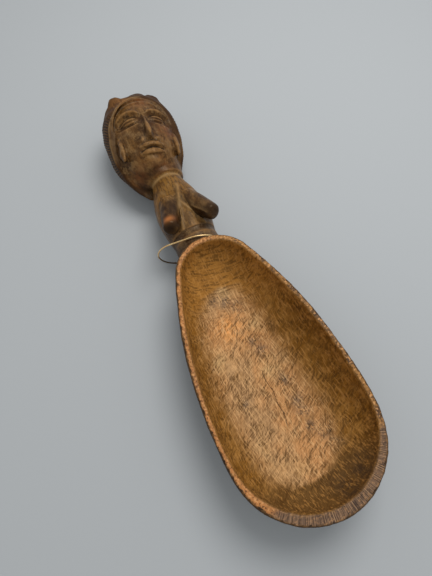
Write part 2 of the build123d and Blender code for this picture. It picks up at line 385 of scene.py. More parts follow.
# %% Softening
y, z = spots.T[1:]
hx, hy = in_head(spots).T[:2]
fx, fy, fz = in_face(spots).T
on_head = ramp(y, neck_step - 6, neck_step + 2)
below_ears = on_head * ramp(-hy, -26, -14) * ramp(hy, 0, 4) * bell(here["nape"], 0, 6) * ramp(z, 5, 9)
neck_ring = bell(y, neck_step, 2.4) * ramp(z, 6, 10)
breast_tips = ramp(-y, -43, -37) * ramp(y, 26, 28) * ramp(z, 41.5, 44)
nose = on_head * within(fx, 9, 6) * ramp(fy, 18, 21) * ramp(-fy, -50, -44) * ramp(fz, 22, 26)
outer_rim = bell(from_outline(spots), 0.3, 1.6) * ramp(z, 40.5, 42.5) * ramp(-y, -14, -8)
rubbed = (below_ears, 0.8 * neck_ring, 0.8 * breast_tips, 0.55 * nose, 0.2 * outer_rim)
hairline = here["arch"] * np.maximum(ramp(hx, -6, 6) * ramp(hy, 40, 48), ramp(hy, 66, 74))
softened(wood, "all_edges", 0.35 + 0.65 * on_head, 6)
softened(wood, "rubbed_round", np.max(rubbed, axis=0), 70)
softened(wood, "hairline", hairline, 260)

# %% [markdown]
# ## Strokes of the knife
# The face is calm, with closed eyes. Its solid already has sockets, eyes, nose and lips. Small strokes
# come last, as a carver would cut them: the line between the lids, the fold above it, the brows, the
# wings of the nose, the mouth line. The crests of the hair stand up with a notch between them, the
# chest has a low ridge that forks along the breasts round a flat panel, the panel ends in a step over
# the waist, and a crack runs down the bowl. They could be sculpted with brushes, but written down they
# can be changed one by one. Each pushes points out or in along the way that the surface faces.

# %% Strokes on the head
spots = points_of(wood.data)
outward = facing_of(wood.data)
here = places(spots, outward)
hx, hy, hz = in_head(spots).T
fx, fy, fz = in_face(spots).T
eye_x, eye_y, eye_narrow = 12.5, 47.0, 1.12
across_eye, up_eye = (np.abs(fx) - eye_x) * eye_narrow, fy - eye_y
lid_line = within(across_eye, 8.2, 6.6) * bell(up_eye, -1.2 + 1.6 * (across_eye / 8) ** 2, 0.75)
lid_fold = within(across_eye, 10, 7) * bell(up_eye, 5.0 - 2.6 * (across_eye / 8) ** 2, 0.9)
brow = within(across_eye, 12, 8) * bell(up_eye, 9.5 - 2.4 * (across_eye / 9) ** 2, 1.7)
nose_wings = bell(np.abs(fx), 5.6, 2.2) * bell(fy, 25.0, 2.4)
nose_ridge = bell(fx, 0, 2.6) * ramp(fy, 23, 28) * ramp(-fy, -46, -30)
mouth_line = within(fx, 10.5, 9) * bell(fy, 17.0 - 0.8 * (fx / 9) ** 2, 0.7)
chin = bell(fx, 0, 5.5) * bell(fy, 7.5, 3.8)
nostrils = bell(np.abs(fx), 3.2, 1.2) * bell(fy, 22.6, 1.6) * bell(fz, 26.0, 2.2)
push = 0.9 * brow + 1.3 * nose_wings + 1.2 * nose_ridge + 0.8 * chin
push -= 0.95 * lid_line + 0.55 * lid_fold + 0.8 * mouth_line
push = push * here["face"] - 1.2 * nostrils
crests = ((-19, 79, 6, 2.0), (-9, 85, 5, -1.6), (5, 89, 6, 2.2))
for at_x, at_y, wide, lift in crests:
    push += lift * bell(np.hypot(hx - at_x, hy - at_y), 0, wide) * ramp(hz, -6, 4)
print("face and crest strokes move points by", round(push.min(), 2), "to", round(push.max(), 2), "mm")

# %% Strokes on the chest and in the bowl
chest_ridge = [(3.0, 80), (3.3, 70), (1.5, 64), (-0.8, 57), (0.5, 53), (6.2, 42.5), (10.5, 33.5)]
left_ridge = [(-0.8, 57), (-3.5, 50), (-6.0, 40), (-7.5, 34)]
crack = [(2.3, -76), (1.2, -88), (2.6, -96), (1.2, -104), (2.0, -112), (-0.8, -124)]
ridge_height, panel_step, crack_depth = 0.8, 0.7, 0.45


def ridge_of(points, facing):
    """How near a point of the chest is to the forked ridge."""
    y, z = points.T[1:]
    off = np.min([np.abs(from_line(points, line)[0]) for line in (chest_ridge, left_ridge)], axis=0)
    on_chest = ramp(y, 31, 34) * ramp(-y, -78, -70) * ramp(facing[:, 2], 0.35, 0.7) * ramp(z, 36, 38)
    return bell(off, 0, 1.4) * on_chest


def crack_of(points):
    """How far a point is from the crack, and where the crack runs at all."""
    off, along = from_line(points, crack)
    return off, ramp(along, 0, 0.1) * ramp(-along, -1, -0.9)


y, z = spots.T[1:]
torso_top = ramp(outward[:, 2], 0.1, 0.5) * (y > bowl_tip + 6)
below_panel = ramp(-y, -33.6, -32.4) * ramp(y, 26.5, 31) * ramp(-z, -45, -42)
crack_off, crack_on = crack_of(spots)
push += ridge_height * ridge_of(spots, outward)
push -= panel_step * torso_top * below_panel
push -= crack_depth * here["hollow"] * crack_on * bell(crack_off, 0, 0.7)
moved = (spots + outward * push[:, None]) * MM
wood.data.vertices.foreach_set("co", moved.astype(np.float32).ravel())
wood.data.update()
print("all strokes move points by", round(push.min(), 2), "to", round(push.max(), 2), "mm")

# %% [markdown]
# ## Tool marks by Geometry Nodes
# Some marks repeat all over the wood: shallow scallops from the knife, crossing strokes of the scraper
# in the bowl, fine grooves combed into the hair, and the waver and chips of a rim cut by eye. A bump in
# the material would not show in the outline, so a node tree cuts them all: it moves each point by an
# amount that depends on its place. The scallops come from the cells of a Voronoi pattern, whose
# middles sink and whose borders stand up.

# %% Amounts for the marks
def kept_number(mesh, name, amount):
    """Keeps one number for each point on the mesh itself, for node trees and materials."""
    layer = mesh.attributes.get(name) or mesh.attributes.new(name, "FLOAT", "POINT")
    layer.data.foreach_set("value", np.ascontiguousarray(amount, np.float32))


spots = points_of(wood.data)
here = places(spots, facing_of(wood.data))
y, z = spots.T[1:]
hx, hy, hz = in_head(spots).T
comb_middle, comb_radius, comb_lean = 44.0, 33.0, radians(45)
over_comb = (hy - comb_middle) * cos(comb_lean) + hz * sin(comb_lean)
comb_angle = np.arctan2(np.abs(hx), over_comb)
clear_of_pole = ramp(np.hypot(hx, over_comb), 12, 20) * ramp(hy, 8, 20) * ramp(here["border"], 2.0, 3.2)
clear_of_crests = 1 - ramp(hy, 56, 68) * ramp(hz, -12, 0)
off_table = 1 - ramp(-z, -3.0, -1.0)
off_waist = 1 - bell(y, 23.0, 8.0)
marked = {
    "tooled": off_table * off_waist * (1 - 0.6 * here["face"]) * (1 - 0.6 * here["hollow"]),
    "scraped": here["hollow"],
    "combed": here["hair"] * off_table * clear_of_pole * clear_of_crests,
    "comb_run": (comb_angle * comb_radius + 0.5 * np.sin((hy - hz) / 6)) * MM,
    "near_rim": ramp(z, 26, 45) * ramp(-y, 6 - bowl_tip, 24 - bowl_tip),
    "chipped": ramp(z, 42.5, 44.2) * ramp(-y, -bowl_tip, 2 - bowl_tip),
}
for name, amount in marked.items():
    kept_number(wood.data, name, amount)
print("amounts kept:", ", ".join(marked))

# %% Helpers for geometry trees
def new_tree(title, numbers):
    """An empty geometry tree with named inputs for its sizes."""
    tree = bpy.data.node_groups.new(title, "GeometryNodeTree")
    tree.interface.new_socket("Geometry", in_out="INPUT", socket_type="NodeSocketGeometry")
    tree.interface.new_socket("Geometry", in_out="OUTPUT", socket_type="NodeSocketGeometry")
    for name, number in numbers.items():
        socket = tree.interface.new_socket(name, in_out="INPUT", socket_type="NodeSocketFloat")
        socket.default_value = number
    return tree, tree.nodes.new("NodeGroupInput"), tree.nodes.new("NodeGroupOutput")


def named(tree, name):
    """Reads one kept number inside a geometry tree."""
    node = tree.nodes.new("GeometryNodeInputNamedAttribute")
    node.data_type = "FLOAT"
    node.inputs["Name"].default_value = name
    return node.outputs["Attribute"]


def ended(tree, geometry, material, output):
    """Every tree ends in real geometry with its material."""
    real = tree.nodes.new("GeometryNodeRealizeInstances")
    coat = tree.nodes.new("GeometryNodeSetMaterial")
    coat.inputs["Material"].default_value = material
    plug(tree, geometry, real.inputs[0])
    plug(tree, real.outputs[0], coat.inputs["Geometry"])
    plug(tree, coat.outputs[0], output.inputs[0])


print("geometry helpers ready")

# %% The tree of tool marks
comb_pitch = 2.1 * MM
mark_sizes = {
    "Scallop depth": 0.42 * MM, "Scallop size": 6 * MM,
    "Stroke depth": 0.5 * MM, "Stroke width": 2.2 * MM,
    "Comb pitch": comb_pitch, "Comb depth": 0.38 * MM,
    "Rim waver": 0.9 * MM, "Rim chips": 0.8 * MM,
}
noise_middle, mark_level = 0.5, 0.42


def scalloped(tree, place, size):
    cells = tree.nodes.new("ShaderNodeTexVoronoi")
    cells.feature = "SMOOTH_F1"
    cells.inputs["Smoothness"].default_value = 0.35
    plug(tree, vectors(tree, "DIVIDE", place, (1, 2.2, 1)), cells.inputs["Vector"])
    plug(tree, maths(tree, "DIVIDE", 1.0, size["Scallop size"]), cells.inputs["Scale"])
    return maths(tree, "SUBTRACT", cells.outputs["Distance"], mark_level)


def tool_marks(material):
    tree, given, output = new_tree("tool_marks", mark_sizes)
    size = given.outputs
    place = tree.nodes.new("GeometryNodeInputPosition").outputs[0]
    facing = tree.nodes.new("GeometryNodeInputNormal").outputs[0]
    scallop = times(tree, scalloped(tree, place, size), size["Scallop depth"], named(tree, "tooled"))
    first = cloud(tree, place, size["Stroke width"], 1.5, 0.5, (1, 7, 4), 32)
    second = cloud(tree, place, size["Stroke width"], 1.5, 0.5, (1, 6, 4), -24)
    stroke = maths(tree, "SUBTRACT", maths(tree, "MINIMUM", first, second), mark_level)
    stroke = times(tree, stroke, size["Stroke depth"], named(tree, "scraped"))
    turns = maths(tree, "DIVIDE", named(tree, "comb_run"), size["Comb pitch"])
    groove = maths(tree, "COSINE", maths(tree, "MULTIPLY", turns, 2 * pi))
    groove = times(tree, groove, size["Comb depth"], 0.5, named(tree, "combed"))
    waver = maths(tree, "SUBTRACT", cloud(tree, place, 30 * MM, 1.5), noise_middle)
    waver = times(tree, waver, size["Rim waver"], named(tree, "near_rim"))
    chips = maths(tree, "SUBTRACT", cloud(tree, place, 3.5 * MM, 2.5, 0.6), noise_middle)
    chips = times(tree, chips, size["Rim chips"], named(tree, "chipped"))
    height = maths(tree, "ADD", maths(tree, "ADD", scallop, groove), maths(tree, "ADD", stroke, waver))
    height = maths(tree, "ADD", height, chips)
    upward = tree.nodes.new("ShaderNodeCombineXYZ")
    plug(tree, waver, upward.inputs["Z"])
    shift = tree.nodes.new("GeometryNodeSetPosition")
    offset = vectors(tree, "ADD", vectors(tree, "SCALE", facing, height), upward.outputs[0])
    plug(tree, size["Geometry"], shift.inputs["Geometry"])
    plug(tree, offset, shift.inputs["Offset"])
    ended(tree, shift.outputs[0], material, output)
    return tree


wood_finish = bpy.data.materials.new("oiled_wood")
wood.modifiers.new("tool_marks", "NODES").node_group = tool_marks(wood_finish)
made_plain(wood)
print("tool marks cut into", len(wood.data.vertices), "points")

# %% [markdown]
# ## Fewer points where little happens
# The fine net has far more triangles than the plain walls need. A coarser remesh would lose the marks
# too. Decimate takes points out where the surface is nearly flat, and leaves the hair alone, because
# its grooves need every point.

# %% Fewer points
def triangles(mesh):
    return sum(len(polygon.vertices) - 2 for polygon in mesh.polygons)


most_triangles = 190000
kept_amount(wood, "may_thin", 1 - (here["hair"] * off_table > 0.5))
before = triangles(wood.data)
thinner = wood.modifiers.new("fewer_points", "DECIMATE")
thinner.ratio = min(1.0, most_triangles / before)
thinner.vertex_group = "may_thin"
made_plain(wood)
wood.vertex_groups.clear()
print("triangles:", before, "before,", triangles(wood.data), "after")

# %% [markdown]
# ## Wear and dirt
# Handling rubs raised edges pale and leaves dirt in the corners. Both follow from the shape: a point
# that stands out from the average of its neighbours is an edge, one that lies below it is a corner.
# A second small tree blurs the positions and keeps the difference, so no painting is needed.

# %% The tree of wear
blur_rounds = 6


def in_use(sockets, name):
    """The one socket of that name that is in use for the chosen kind of data."""
    return next(socket for socket in sockets if socket.enabled and socket.name == name)


def wear_map(material):
    tree, given, output = new_tree("wear_map", {})
    place = tree.nodes.new("GeometryNodeInputPosition").outputs[0]
    facing = tree.nodes.new("GeometryNodeInputNormal").outputs[0]
    blurred = tree.nodes.new("GeometryNodeBlurAttribute")
    blurred.data_type = "FLOAT_VECTOR"
    blurred.inputs["Iterations"].default_value = blur_rounds
    plug(tree, place, in_use(blurred.inputs, "Value"))
    lift = vectors(tree, "SUBTRACT", place, in_use(blurred.outputs, "Value"))
    height = vectors(tree, "DOT_PRODUCT", lift, facing, "Value")
    keep = tree.nodes.new("GeometryNodeStoreNamedAttribute")
    keep.data_type = "FLOAT"
    keep.domain = "POINT"
    keep.inputs["Name"].default_value = "edge"
    plug(tree, given.outputs["Geometry"], keep.inputs["Geometry"])
    plug(tree, maths(tree, "DIVIDE", height, MM), in_use(keep.inputs, "Value"))
    ended(tree, keep.outputs[0], material, output)
    return tree


wood.modifiers.new("wear_map", "NODES").node_group = wear_map(wood_finish)
made_plain(wood)
edge = np.empty(len(wood.data.vertices), np.float32)
wood.data.attributes["edge"].data.foreach_get("value", edge)
print("edge from", round(float(edge.min()), 2), "to", round(float(edge.max()), 2), "mm")

# %% [markdown]
# ## Colours by place
# The wood isn't one colour. The middle of the bowl is scraped to pale orange with grey clouds, its
# walls are brown, and on top of that the bed is painted paler as painted light and the walls darker as
# painted shade. The outside is dark with use, the neck and chest are rubbed to ochre, and the breast
# ends and the corners are sooty. Painted shade also darkens the undersides, the throat under the chin,
# the nape's low end, the hair's grooves and the bowl's outer wall below the rim, and painted highlights
# brighten the chest ridge, the neck's step, the hair's locks and the top of the left breast's end. A
# painted picture could hold this, but it would need unwrapping. Here the patches are worked out point
# by point and kept on the mesh.

# %% Patches in the bowl
spots = points_of(wood.data)
outward = facing_of(wood.data)
here = places(spots, outward)
x, y, z = spots.T
hollow = here["hollow"]
bed_y = (-160, -156, -150, -144, -133, -117, -93, -71, -41, -25, -14, -9)
bed_right = np.interp(y, bed_y, (-14, 8, 18, 25, 28, 29, 27, 24, 20.5, 16, 9, -12))
bed_left = np.interp(y, bed_y, (10, -14, -23, -29, -32, -34, -35, -33, -27, -21, -9, 12))
pale_spots = ((8, -80, 8), (13, -45, 6), (3, -15, 7), (-26, -62, 9))
faint_spots = ((-17, -141, 9), (-23, -128, 9), (-5, -150, 7))
cloud_spots = (
    (-8, -19, 5), (0, -23, 5), (7, -29, 5), (9, -66, 5), (6, -58, 4), (13, -92, 5), (14, -108, 5),
    (14, -117, 5), (13.6, -127, 4), (20, -135, 5), (24, -143, 5), (-20, -96, 4),
)
scorch_spots = ((11, -168, 8), (23, -163, 6), (29, -157, 4))


def spotted(across, along, circles):
    """Round patches given by place and radius, where they overlap no stronger than one alone."""
    amounts = [bell(np.hypot(across - at_x, along - at_y), 0, wide) for at_x, at_y, wide in circles]
    return np.max(amounts, axis=0)


crack_off, crack_on = crack_of(spots)
patches = {
    "hollow": hollow,
    "in_bed": np.clip(np.minimum(bed_right - x, x - bed_left), -12, 12),
    "orange": bell(np.hypot((x + 5) / 9, (y + 44) / 13), 0, 1) * hollow,
    "pale": np.maximum(spotted(x, y, pale_spots), 0.45 * spotted(x, y, faint_spots)) * hollow,
    "clouds": spotted(x, y, cloud_spots) * hollow,
    "scorch": spotted(x, y, scorch_spots) * hollow,
    "crack_off": np.clip(crack_off, -5, 5),
    "crack_on": crack_on * hollow,
    "lip": ramp(-y, 138, 158),
    "tip": ramp(y, -50, -14),
}
print("patches in the bowl:", ", ".join(patches))

# %% Patches on the rim
lip_start = 157 - 14 * ramp(x, -25, 25)
end_grain_y, end_grain_radius = -129.4, 48
patches.update({
    "rim": here["rim"],
    "outline": np.clip(from_outline(spots), -3, 12),
    "lip_rim": ramp(-y, lip_start, lip_start + 6),
    "right": ramp(x, -8, 20),
    "around": np.arctan2(x, end_grain_y - y) * end_grain_radius * MM,
})
print("patches with the rim's:", len(patches))

# %% Patches on the figure
hx, hy, hz = in_head(spots).T
up = outward[:, 2]
outer = (1 - hollow) * (1 - here["rim"])
torso = ramp(y, bowl_tip + 8, bowl_tip + 14) * (y < neck_step + 3)
chest = ramp(y, 54, 74) * ramp(-y, -91, -88) * ramp(up, 0.0, 0.6)
panel = ramp(y, 33, 35) * ramp(-y, -57, -50) * ramp(up, 0.5, 0.9) * ramp(-z, -45.5, -44)
breasts = torso * ramp(z, 42.5, 44.5) * ramp(-y, -61, -56)
# The next amounts paint dark. The breast ends are sooty and also painted shade. The nape's low end, the
# throat under the chin, every surface that faces down and the bowl's outer wall below the rim are painted
# shade. Together they make one amount of soot and painted shade.
breast_ends = torso * ramp(-y, -42, -36) * ramp(z, 42, 46)
shaded_nape_tip = (y > neck_step - 16) * ramp(-hy, -6, -1) * ramp(-hz, -1, 6)
shade_under_chin = bell(hx, 0, 15) * ramp(hy, -2, 2) * ramp(-hy, -9, -3) * (y > neck_step)
# Painted highlight: the up-facing edge of the neck's step is painted pale.
neck_step_highlight = bell(y, neck_step - 2.0, 1.3) * ramp(up, -0.2, 0.3) * ramp(z, 27, 32)
shaded_underside = ramp(-up, -0.3, 0.25) * (1 - hollow) * (1 - 0.75 * here["hair"])
shaded_outer_wall = ramp(z, 37, 42) * (y < bowl_tip) * outer
soot_and_shade = breast_ends + 0.7 * shade_under_chin + 0.8 * shaded_nape_tip + 0.85 * shaded_underside + 0.8 * shaded_outer_wall
red_spots = ((1, 70, 8), (4, 2, 9), (16, 36, 8), (-14, 4, 7))
bare_head = (y > neck_step) * (1 - here["hair"]) * ramp(up, -0.2, 0.3)
patches.update({
    "hair": here["hair"],
    "border": bell(here["border"], 0.9, 0.7) * (y > neck_step) * ramp(-hx, -6, 2) * ramp(hy, 22, 30),
    "crest": spotted(hx, hy, ((-14, 73, 9),)) * here["hair"],
    "red": spotted(hx, hy, red_spots) * bare_head,
    "ochre": np.clip(chest + 0.75 * panel, 0, 1) * (1 - breasts) * (1 - shaded_nape_tip),
    # Painted highlights on the chest ridge and the neck's step.
    "ridge": np.clip(0.65 * ridge_of(spots, outward) + 0.9 * neck_step_highlight, 0, 1),
    "breasts": breasts * np.where(x < 0, 1, 0.42),
    # Painted highlight: the up-facing top of the left breast's end is painted orange.
    "rubbed": bell(x, -16.0, 4.4) * bell(y, 39.0, 2.6) * ramp(up, 0.3, 0.7) * (z > 48),
    # Soot on the breast ends, painted shade there and everywhere else in this amount.
    "soot_and_shade": np.clip(soot_and_shade, 0, 1),
    "grey": bell(y, 27, 9) * outer * (y > bowl_tip - 4),
})
for name in ("tooled", "scraped", "near_rim", "chipped"):
    wood.data.attributes.remove(wood.data.attributes[name])
for name, amount in patches.items():
    kept_number(wood.data, name, amount)
print("patches kept:", len(patches))

# %% [markdown]
# ## The wood's finish
# Oiled wood shows long fine grain, small pores, colour that shifts over a hand's width, and a soft
# sheen. A picture of wood wrapped round it would stretch on such a round form. Here it is all noise,
# stretched along the grain or the scraper's strokes, in the object's own coordinates, and mixed by the
# patches kept above. Colours lie over one another in named layers, like a finisher's stains.

# %% Mixing helpers
def kept(tree, name):
    """Reads one kept number inside a material."""
    node = tree.nodes.new("ShaderNodeAttribute")
    node.attribute_name = name
    return node.outputs["Fac"]


def colours(tree, amount, first, second, title=""):
    node = tree.nodes.new("ShaderNodeMix")
    node.data_type = "RGBA"
    node.label = title
    plug(tree, amount, node.inputs[0])
    for value, socket in ((first, node.inputs[6]), (second, node.inputs[7])):
        plug(tree, value if isinstance(value, bpy.types.NodeSocket) else (*value, 1), socket)
    return node.outputs[2]


def layered(tree, tone, *layers):
    """Lays named colours over a tone one after another. The amounts of a layer multiply."""
    for title, colour, *amounts in layers:
        tone = colours(tree, times(tree, *amounts), tone, colour, title)
    return tone


def bumped(tree, shader, height, strength, depth):
    bump = tree.nodes.new("ShaderNodeBump")
    bump.inputs["Strength"].default_value = strength
    bump.inputs["Distance"].default_value = depth
    plug(tree, height, bump.inputs["Height"])
    plug(tree, bump.outputs[0], shader.inputs["Normal"])


print("mixing helpers ready")

# %% Patterns in the wood
swirl_size, swirl_reach = 11 * MM, 3 * MM


def wood_patterns(tree):
    """The patterns that all the colours share, from the widest to the finest."""
    place = tree.nodes.new("ShaderNodeTexCoord").outputs["Object"]
    swirl = tree.nodes.new("ShaderNodeTexNoise")
    swirl.inputs["Scale"].default_value = 1 / swirl_size
    plug(tree, place, swirl.inputs["Vector"])
    sway = vectors(tree, "SUBTRACT", swirl.outputs["Color"], (noise_middle,) * 3)
    bent = vectors(tree, "ADD", place, vectors(tree, "SCALE", sway, swirl_reach))
    around = tree.nodes.new("ShaderNodeCombineXYZ")
    plug(tree, kept(tree, "around"), around.inputs["X"])
    comb_turn = maths(tree, "MULTIPLY", kept(tree, "comb_run"), 2 * pi / comb_pitch)
    return SimpleNamespace(
        drift=cloud(tree, place, 26 * MM, 3, 0.6, (1, 1.8, 1)),
        hatching=cloud(tree, place, 14 * MM, 2, 0.5),
        blotch=cloud(tree, place, 9 * MM, 4, 0.6),
        weather=cloud(tree, place, 5 * MM, 4, 0.65, (1, 2.2, 1)),
        mottle=cloud(tree, place, 4 * MM, 3, 0.6),
        fleck=cloud(tree, place, 1.5 * MM, 2, 0.6),
        grain=cloud(tree, place, 1.3 * MM, 4, 0.6, (1, 14, 1)),
        pores=cloud(tree, place, 0.6 * MM, 2, 0.5, (1, 5, 1)),
        first=cloud(tree, bent, 1.0 * MM, 3, 0.6, (1, 9, 4), 60),
        second=cloud(tree, bent, 0.9 * MM, 3, 0.6, (1, 8, 4), -6),
        third=cloud(tree, bent, 1.1 * MM, 3, 0.6, (1, 8, 4), 28),
        across=cloud(tree, bent, 1.1 * MM, 3, 0.6, (8, 1.2, 4), 10),
        end_lines=cloud(tree, around.outputs[0], 0.6 * MM, 2, 0.6),
        comb=maths(tree, "COSINE", comb_turn),
    )


print("patterns ready, grooves", round(comb_pitch / MM, 1), "mm apart")

# %% [markdown]
# ### The outside
# Years of oil and handling left the outside dark brown and uneven. The hair is darkest; its grooves
# are painted darker as painted shade and the locks between them lighter as painted highlights. The
# chest is ochre, forehead, cheek and chin have a little red, and the waist is grey round the wire. The
# chest ridge, the neck's step and the top of the left breast's end get painted highlights. The breast
# ends are sooty and painted dark as painted shade, as are the undersides, the throat under the chin,
# the nape's low end and the bowl's outer wall below the rim. One flat brown would look like plastic,
# so thin layers are laid on.

# %% Colours of the outside
def outside_tone(tree, seen, on):
    fade = partial(between, tree)
    dark_brown, mid_brown = (0.052, 0.020, 0.005), (0.180, 0.084, 0.022)
    off_hair = fade(on["hair"], 0, 1, 1, 0.3)
    tone = colours(tree, fade(seen.drift, 0.35, 0.65), dark_brown, mid_brown)
    return layered(
        tree, tone,
        ("worn patches", (0.230, 0.135, 0.058), fade(seen.blotch, 0.50, 0.68, 0, 0.65)),
        ("dark mottling", (0.030, 0.012, 0.004), fade(seen.mottle, 0.50, 0.66, 0, 0.75)),
        ("pale flecks", (0.260, 0.150, 0.062), fade(seen.fleck, 0.56, 0.68, 0, 0.45)),
        ("grain", (0.026, 0.012, 0.004), fade(seen.grain, 0.42, 0.70, 0, 0.75)),
        ("hair", (0.040, 0.013, 0.002), on["hair"], 0.85),
        # Painted shade in the hair's groove bottoms, and painted highlights on the locks between them.
        ("grooves", (0.014, 0.006, 0.002), on["combed"], fade(seen.comb, 0.3, -0.6, 0, 0.9)),
        ("locks", (0.100, 0.046, 0.012), on["combed"], fade(seen.comb, 0.2, 0.9, 0, 0.7)),
        ("hair border", (0.300, 0.185, 0.080), on["border"], 0.8),
        ("crest", (0.250, 0.105, 0.028), on["crest"], fade(seen.blotch, 0.3, 0.6, 0.4, 0.9)),
        ("grey waist", (0.125, 0.076, 0.040), on["grey"], fade(seen.fleck, 0.35, 0.6, 0.3, 0.9)),
        ("ochre chest", (0.250, 0.115, 0.021), on["ochre"], fade(seen.grain, 0.62, 0.42, 0.1, 0.85)),
        ("dark weather", (0.040, 0.013, 0.003), fade(seen.weather, 0.52, 0.62, 0, 0.6)),
        ("pale weather", (0.290, 0.165, 0.062), off_hair, fade(seen.weather, 0.44, 0.36, 0, 0.45)),
        ("red brown", (0.175, 0.052, 0.014), on["red"], fade(seen.mottle, 0.40, 0.60, 0.75, 0.3)),
        ("breasts", (0.022, 0.008, 0.002), on["breasts"], fade(seen.mottle, 0.38, 0.62, 1, 0.75)),
        # Soot on the breast ends, and painted shade there, on the undersides, the throat, the nape and
        # the bowl's outer wall below the rim.
        ("soot_and_shade", (0.015, 0.006, 0.003), on["soot_and_shade"], fade(seen.drift, 0.3, 0.7, 0.95, 0.75)),
        # Painted highlights: the chest ridge and the neck's step are painted pale.
        ("bright ridge", (0.360, 0.210, 0.080), on["ridge"], fade(seen.blotch, 0.3, 0.55, 0.4, 0.9)),
        # A painted orange highlight on the top of the left breast's end.
        ("rubbed end", (0.420, 0.140, 0.035), on["rubbed"]),
        ("oil", (0.020, 0.004, 0.000), 0.10),
    )


print("colours of the outside ready")

# %% [markdown]
# ### Inside the bowl
# The walls are brown and the bed is scraped to pale orange, with a border that wavers. The walls are
# also painted darker as painted shade and the bed paler as painted light, so the steep walls and the
# flat bed part sharply. Scraper strokes lie over both in four directions, dark where dirt stayed in
# them and pale where wood is bare. The bed's outline is a kept distance, so that noise can shift it
# and it never looks cut out.

# %% Colours of the hollow
waver_reach, crack_waver = 14, 0.45


def bare_hollow(tree, seen, on):
    """The wall and the bed before the strokes, and how far a point is on the bed."""
    fade = partial(between, tree)
    sway = maths(tree, "MULTIPLY", maths(tree, "SUBTRACT", seen.blotch, noise_middle), waver_reach)
    into_bed = maths(tree, "ADD", on["in_bed"], sway)
    # Painted shade and light: the walls are painted darker and the bed paler, with a sharp change between
    # them.
    on_bed = fade(into_bed, -8, 7)
    patchy = fade(seen.blotch, 0.35, 0.6, 0.35, 1)
    wall = layered(
        tree, colours(tree, fade(seen.blotch, 0.35, 0.7), (0.235, 0.098, 0.012), (0.390, 0.185, 0.040)),
        ("dark drift", (0.170, 0.070, 0.010), fade(seen.drift, 0.45, 0.65, 0, 0.5)),
        ("lip wall", (0.122, 0.061, 0.018), on["lip"], 0.85),
        ("tip wall", (0.480, 0.210, 0.040), on["tip"], 0.5),
    )
    bed = layered(
        tree, colours(tree, fade(seen.drift, 0.38, 0.62), (0.480, 0.268, 0.118), (0.600, 0.285, 0.105)),
        ("pale bed", (0.680, 0.430, 0.190), on["pale"], patchy),
        ("orange bed", (0.980, 0.420, 0.125), on["orange"], patchy),
        ("brown blotches", (0.340, 0.170, 0.055), fade(seen.blotch, 0.54, 0.68, 0, 0.5)),
        ("grey clouds", (0.170, 0.115, 0.075), on["clouds"], fade(seen.mottle, 0.36, 0.56, 0.1, 0.85)),
        ("bed's border", (0.330, 0.168, 0.054), fade(into_bed, 12, -2, 0, 0.7)),
    )
    return colours(tree, on_bed, wall, bed), on_bed


def hollow_tone(tree, seen, on):
    fade = partial(between, tree)
    tone, on_bed = bare_hollow(tree, seen, on)
    on_wall = fade(on_bed, 0, 1, 1, 0)
    hatched = times(tree, fade(seen.hatching, 0.35, 0.6, 0.45, 1), fade(on["tip"], 0, 1, 1, 0.25))
    sway = fade(seen.fleck, 0.2, 0.8, -crack_waver, crack_waver)
    from_crack = maths(tree, "ABSOLUTE", maths(tree, "ADD", on["crack_off"], sway))
    return layered(
        tree, tone,
        ("first strokes", (0.080, 0.033, 0.006), fade(seen.first, 0.46, 0.62, 0, 0.75), hatched),
        ("third strokes", (0.085, 0.036, 0.007), fade(seen.third, 0.47, 0.63, 0, 0.65), hatched),
        ("tip strokes", (0.080, 0.034, 0.006), fade(seen.across, 0.46, 0.62, 0, 0.65), on["tip"]),
        ("bed strokes", (0.800, 0.465, 0.205), fade(seen.second, 0.50, 0.66, 0, 0.65), on_bed),
        ("wall strokes", (0.480, 0.230, 0.060), fade(seen.second, 0.50, 0.64, 0, 0.6), on_wall),
        ("cloud specks", (0.045, 0.027, 0.018), on["clouds"], fade(seen.fleck, 0.56, 0.64, 0, 0.85)),
        ("pores", (0.045, 0.020, 0.007), fade(seen.pores, 0.66, 0.74, 0, 0.5)),
        ("scorch", (0.036, 0.021, 0.013), on["scorch"], fade(seen.mottle, 0.36, 0.56, 0.10, 0.75)),
        ("crack", (0.050, 0.022, 0.008), on["crack_on"], fade(from_crack, 0.1, 0.45, 0.75, 0)),
    )


print("colours of the hollow ready")

# %% [markdown]
# ### The rim
# The rim's left side is worn to orange, its right side is browner, and at the lip the cut crosses the
# grain, so fine dark and pale lines of end grain stand across it. The lines come from noise that runs
# only round the lip's arc, which keeps every line square to the edge.

# %% Colours of the rim
def rim_tone(tree, seen, on):
    fade = partial(between, tree)
    lip = on["lip_rim"]
    dulled = fade(maths(tree, "MAXIMUM", lip, on["right"]), 0, 1, 0.3, 1)
    sides = fade(lip, 0, 1, 1, 0.3)
    tone = colours(tree, on["right"], (0.470, 0.190, 0.060), (0.330, 0.155, 0.048))
    return layered(
        tree, tone,
        ("lip", (0.215, 0.124, 0.074), lip),
        ("grey drift", (0.085, 0.055, 0.042), dulled, fade(seen.drift, 0.50, 0.60, 0, 0.6)),
        ("dark blotches", (0.050, 0.033, 0.028), dulled, fade(seen.blotch, 0.50, 0.62, 0, 0.8)),
        ("dark end grain", (0.032, 0.020, 0.016), lip, fade(seen.end_lines, 0.48, 0.56, 0, 0.85)),
        ("pale end grain", (0.400, 0.245, 0.135), lip, fade(seen.end_lines, 0.46, 0.38, 0, 0.75)),
        ("pale flecks", (0.660, 0.330, 0.130), sides, fade(seen.fleck, 0.54, 0.62, 0, 0.8)),
        ("dark flecks", (0.060, 0.028, 0.012), sides, fade(seen.fleck, 0.43, 0.36, 0, 0.8)),
    )


print("colours of the rim ready")

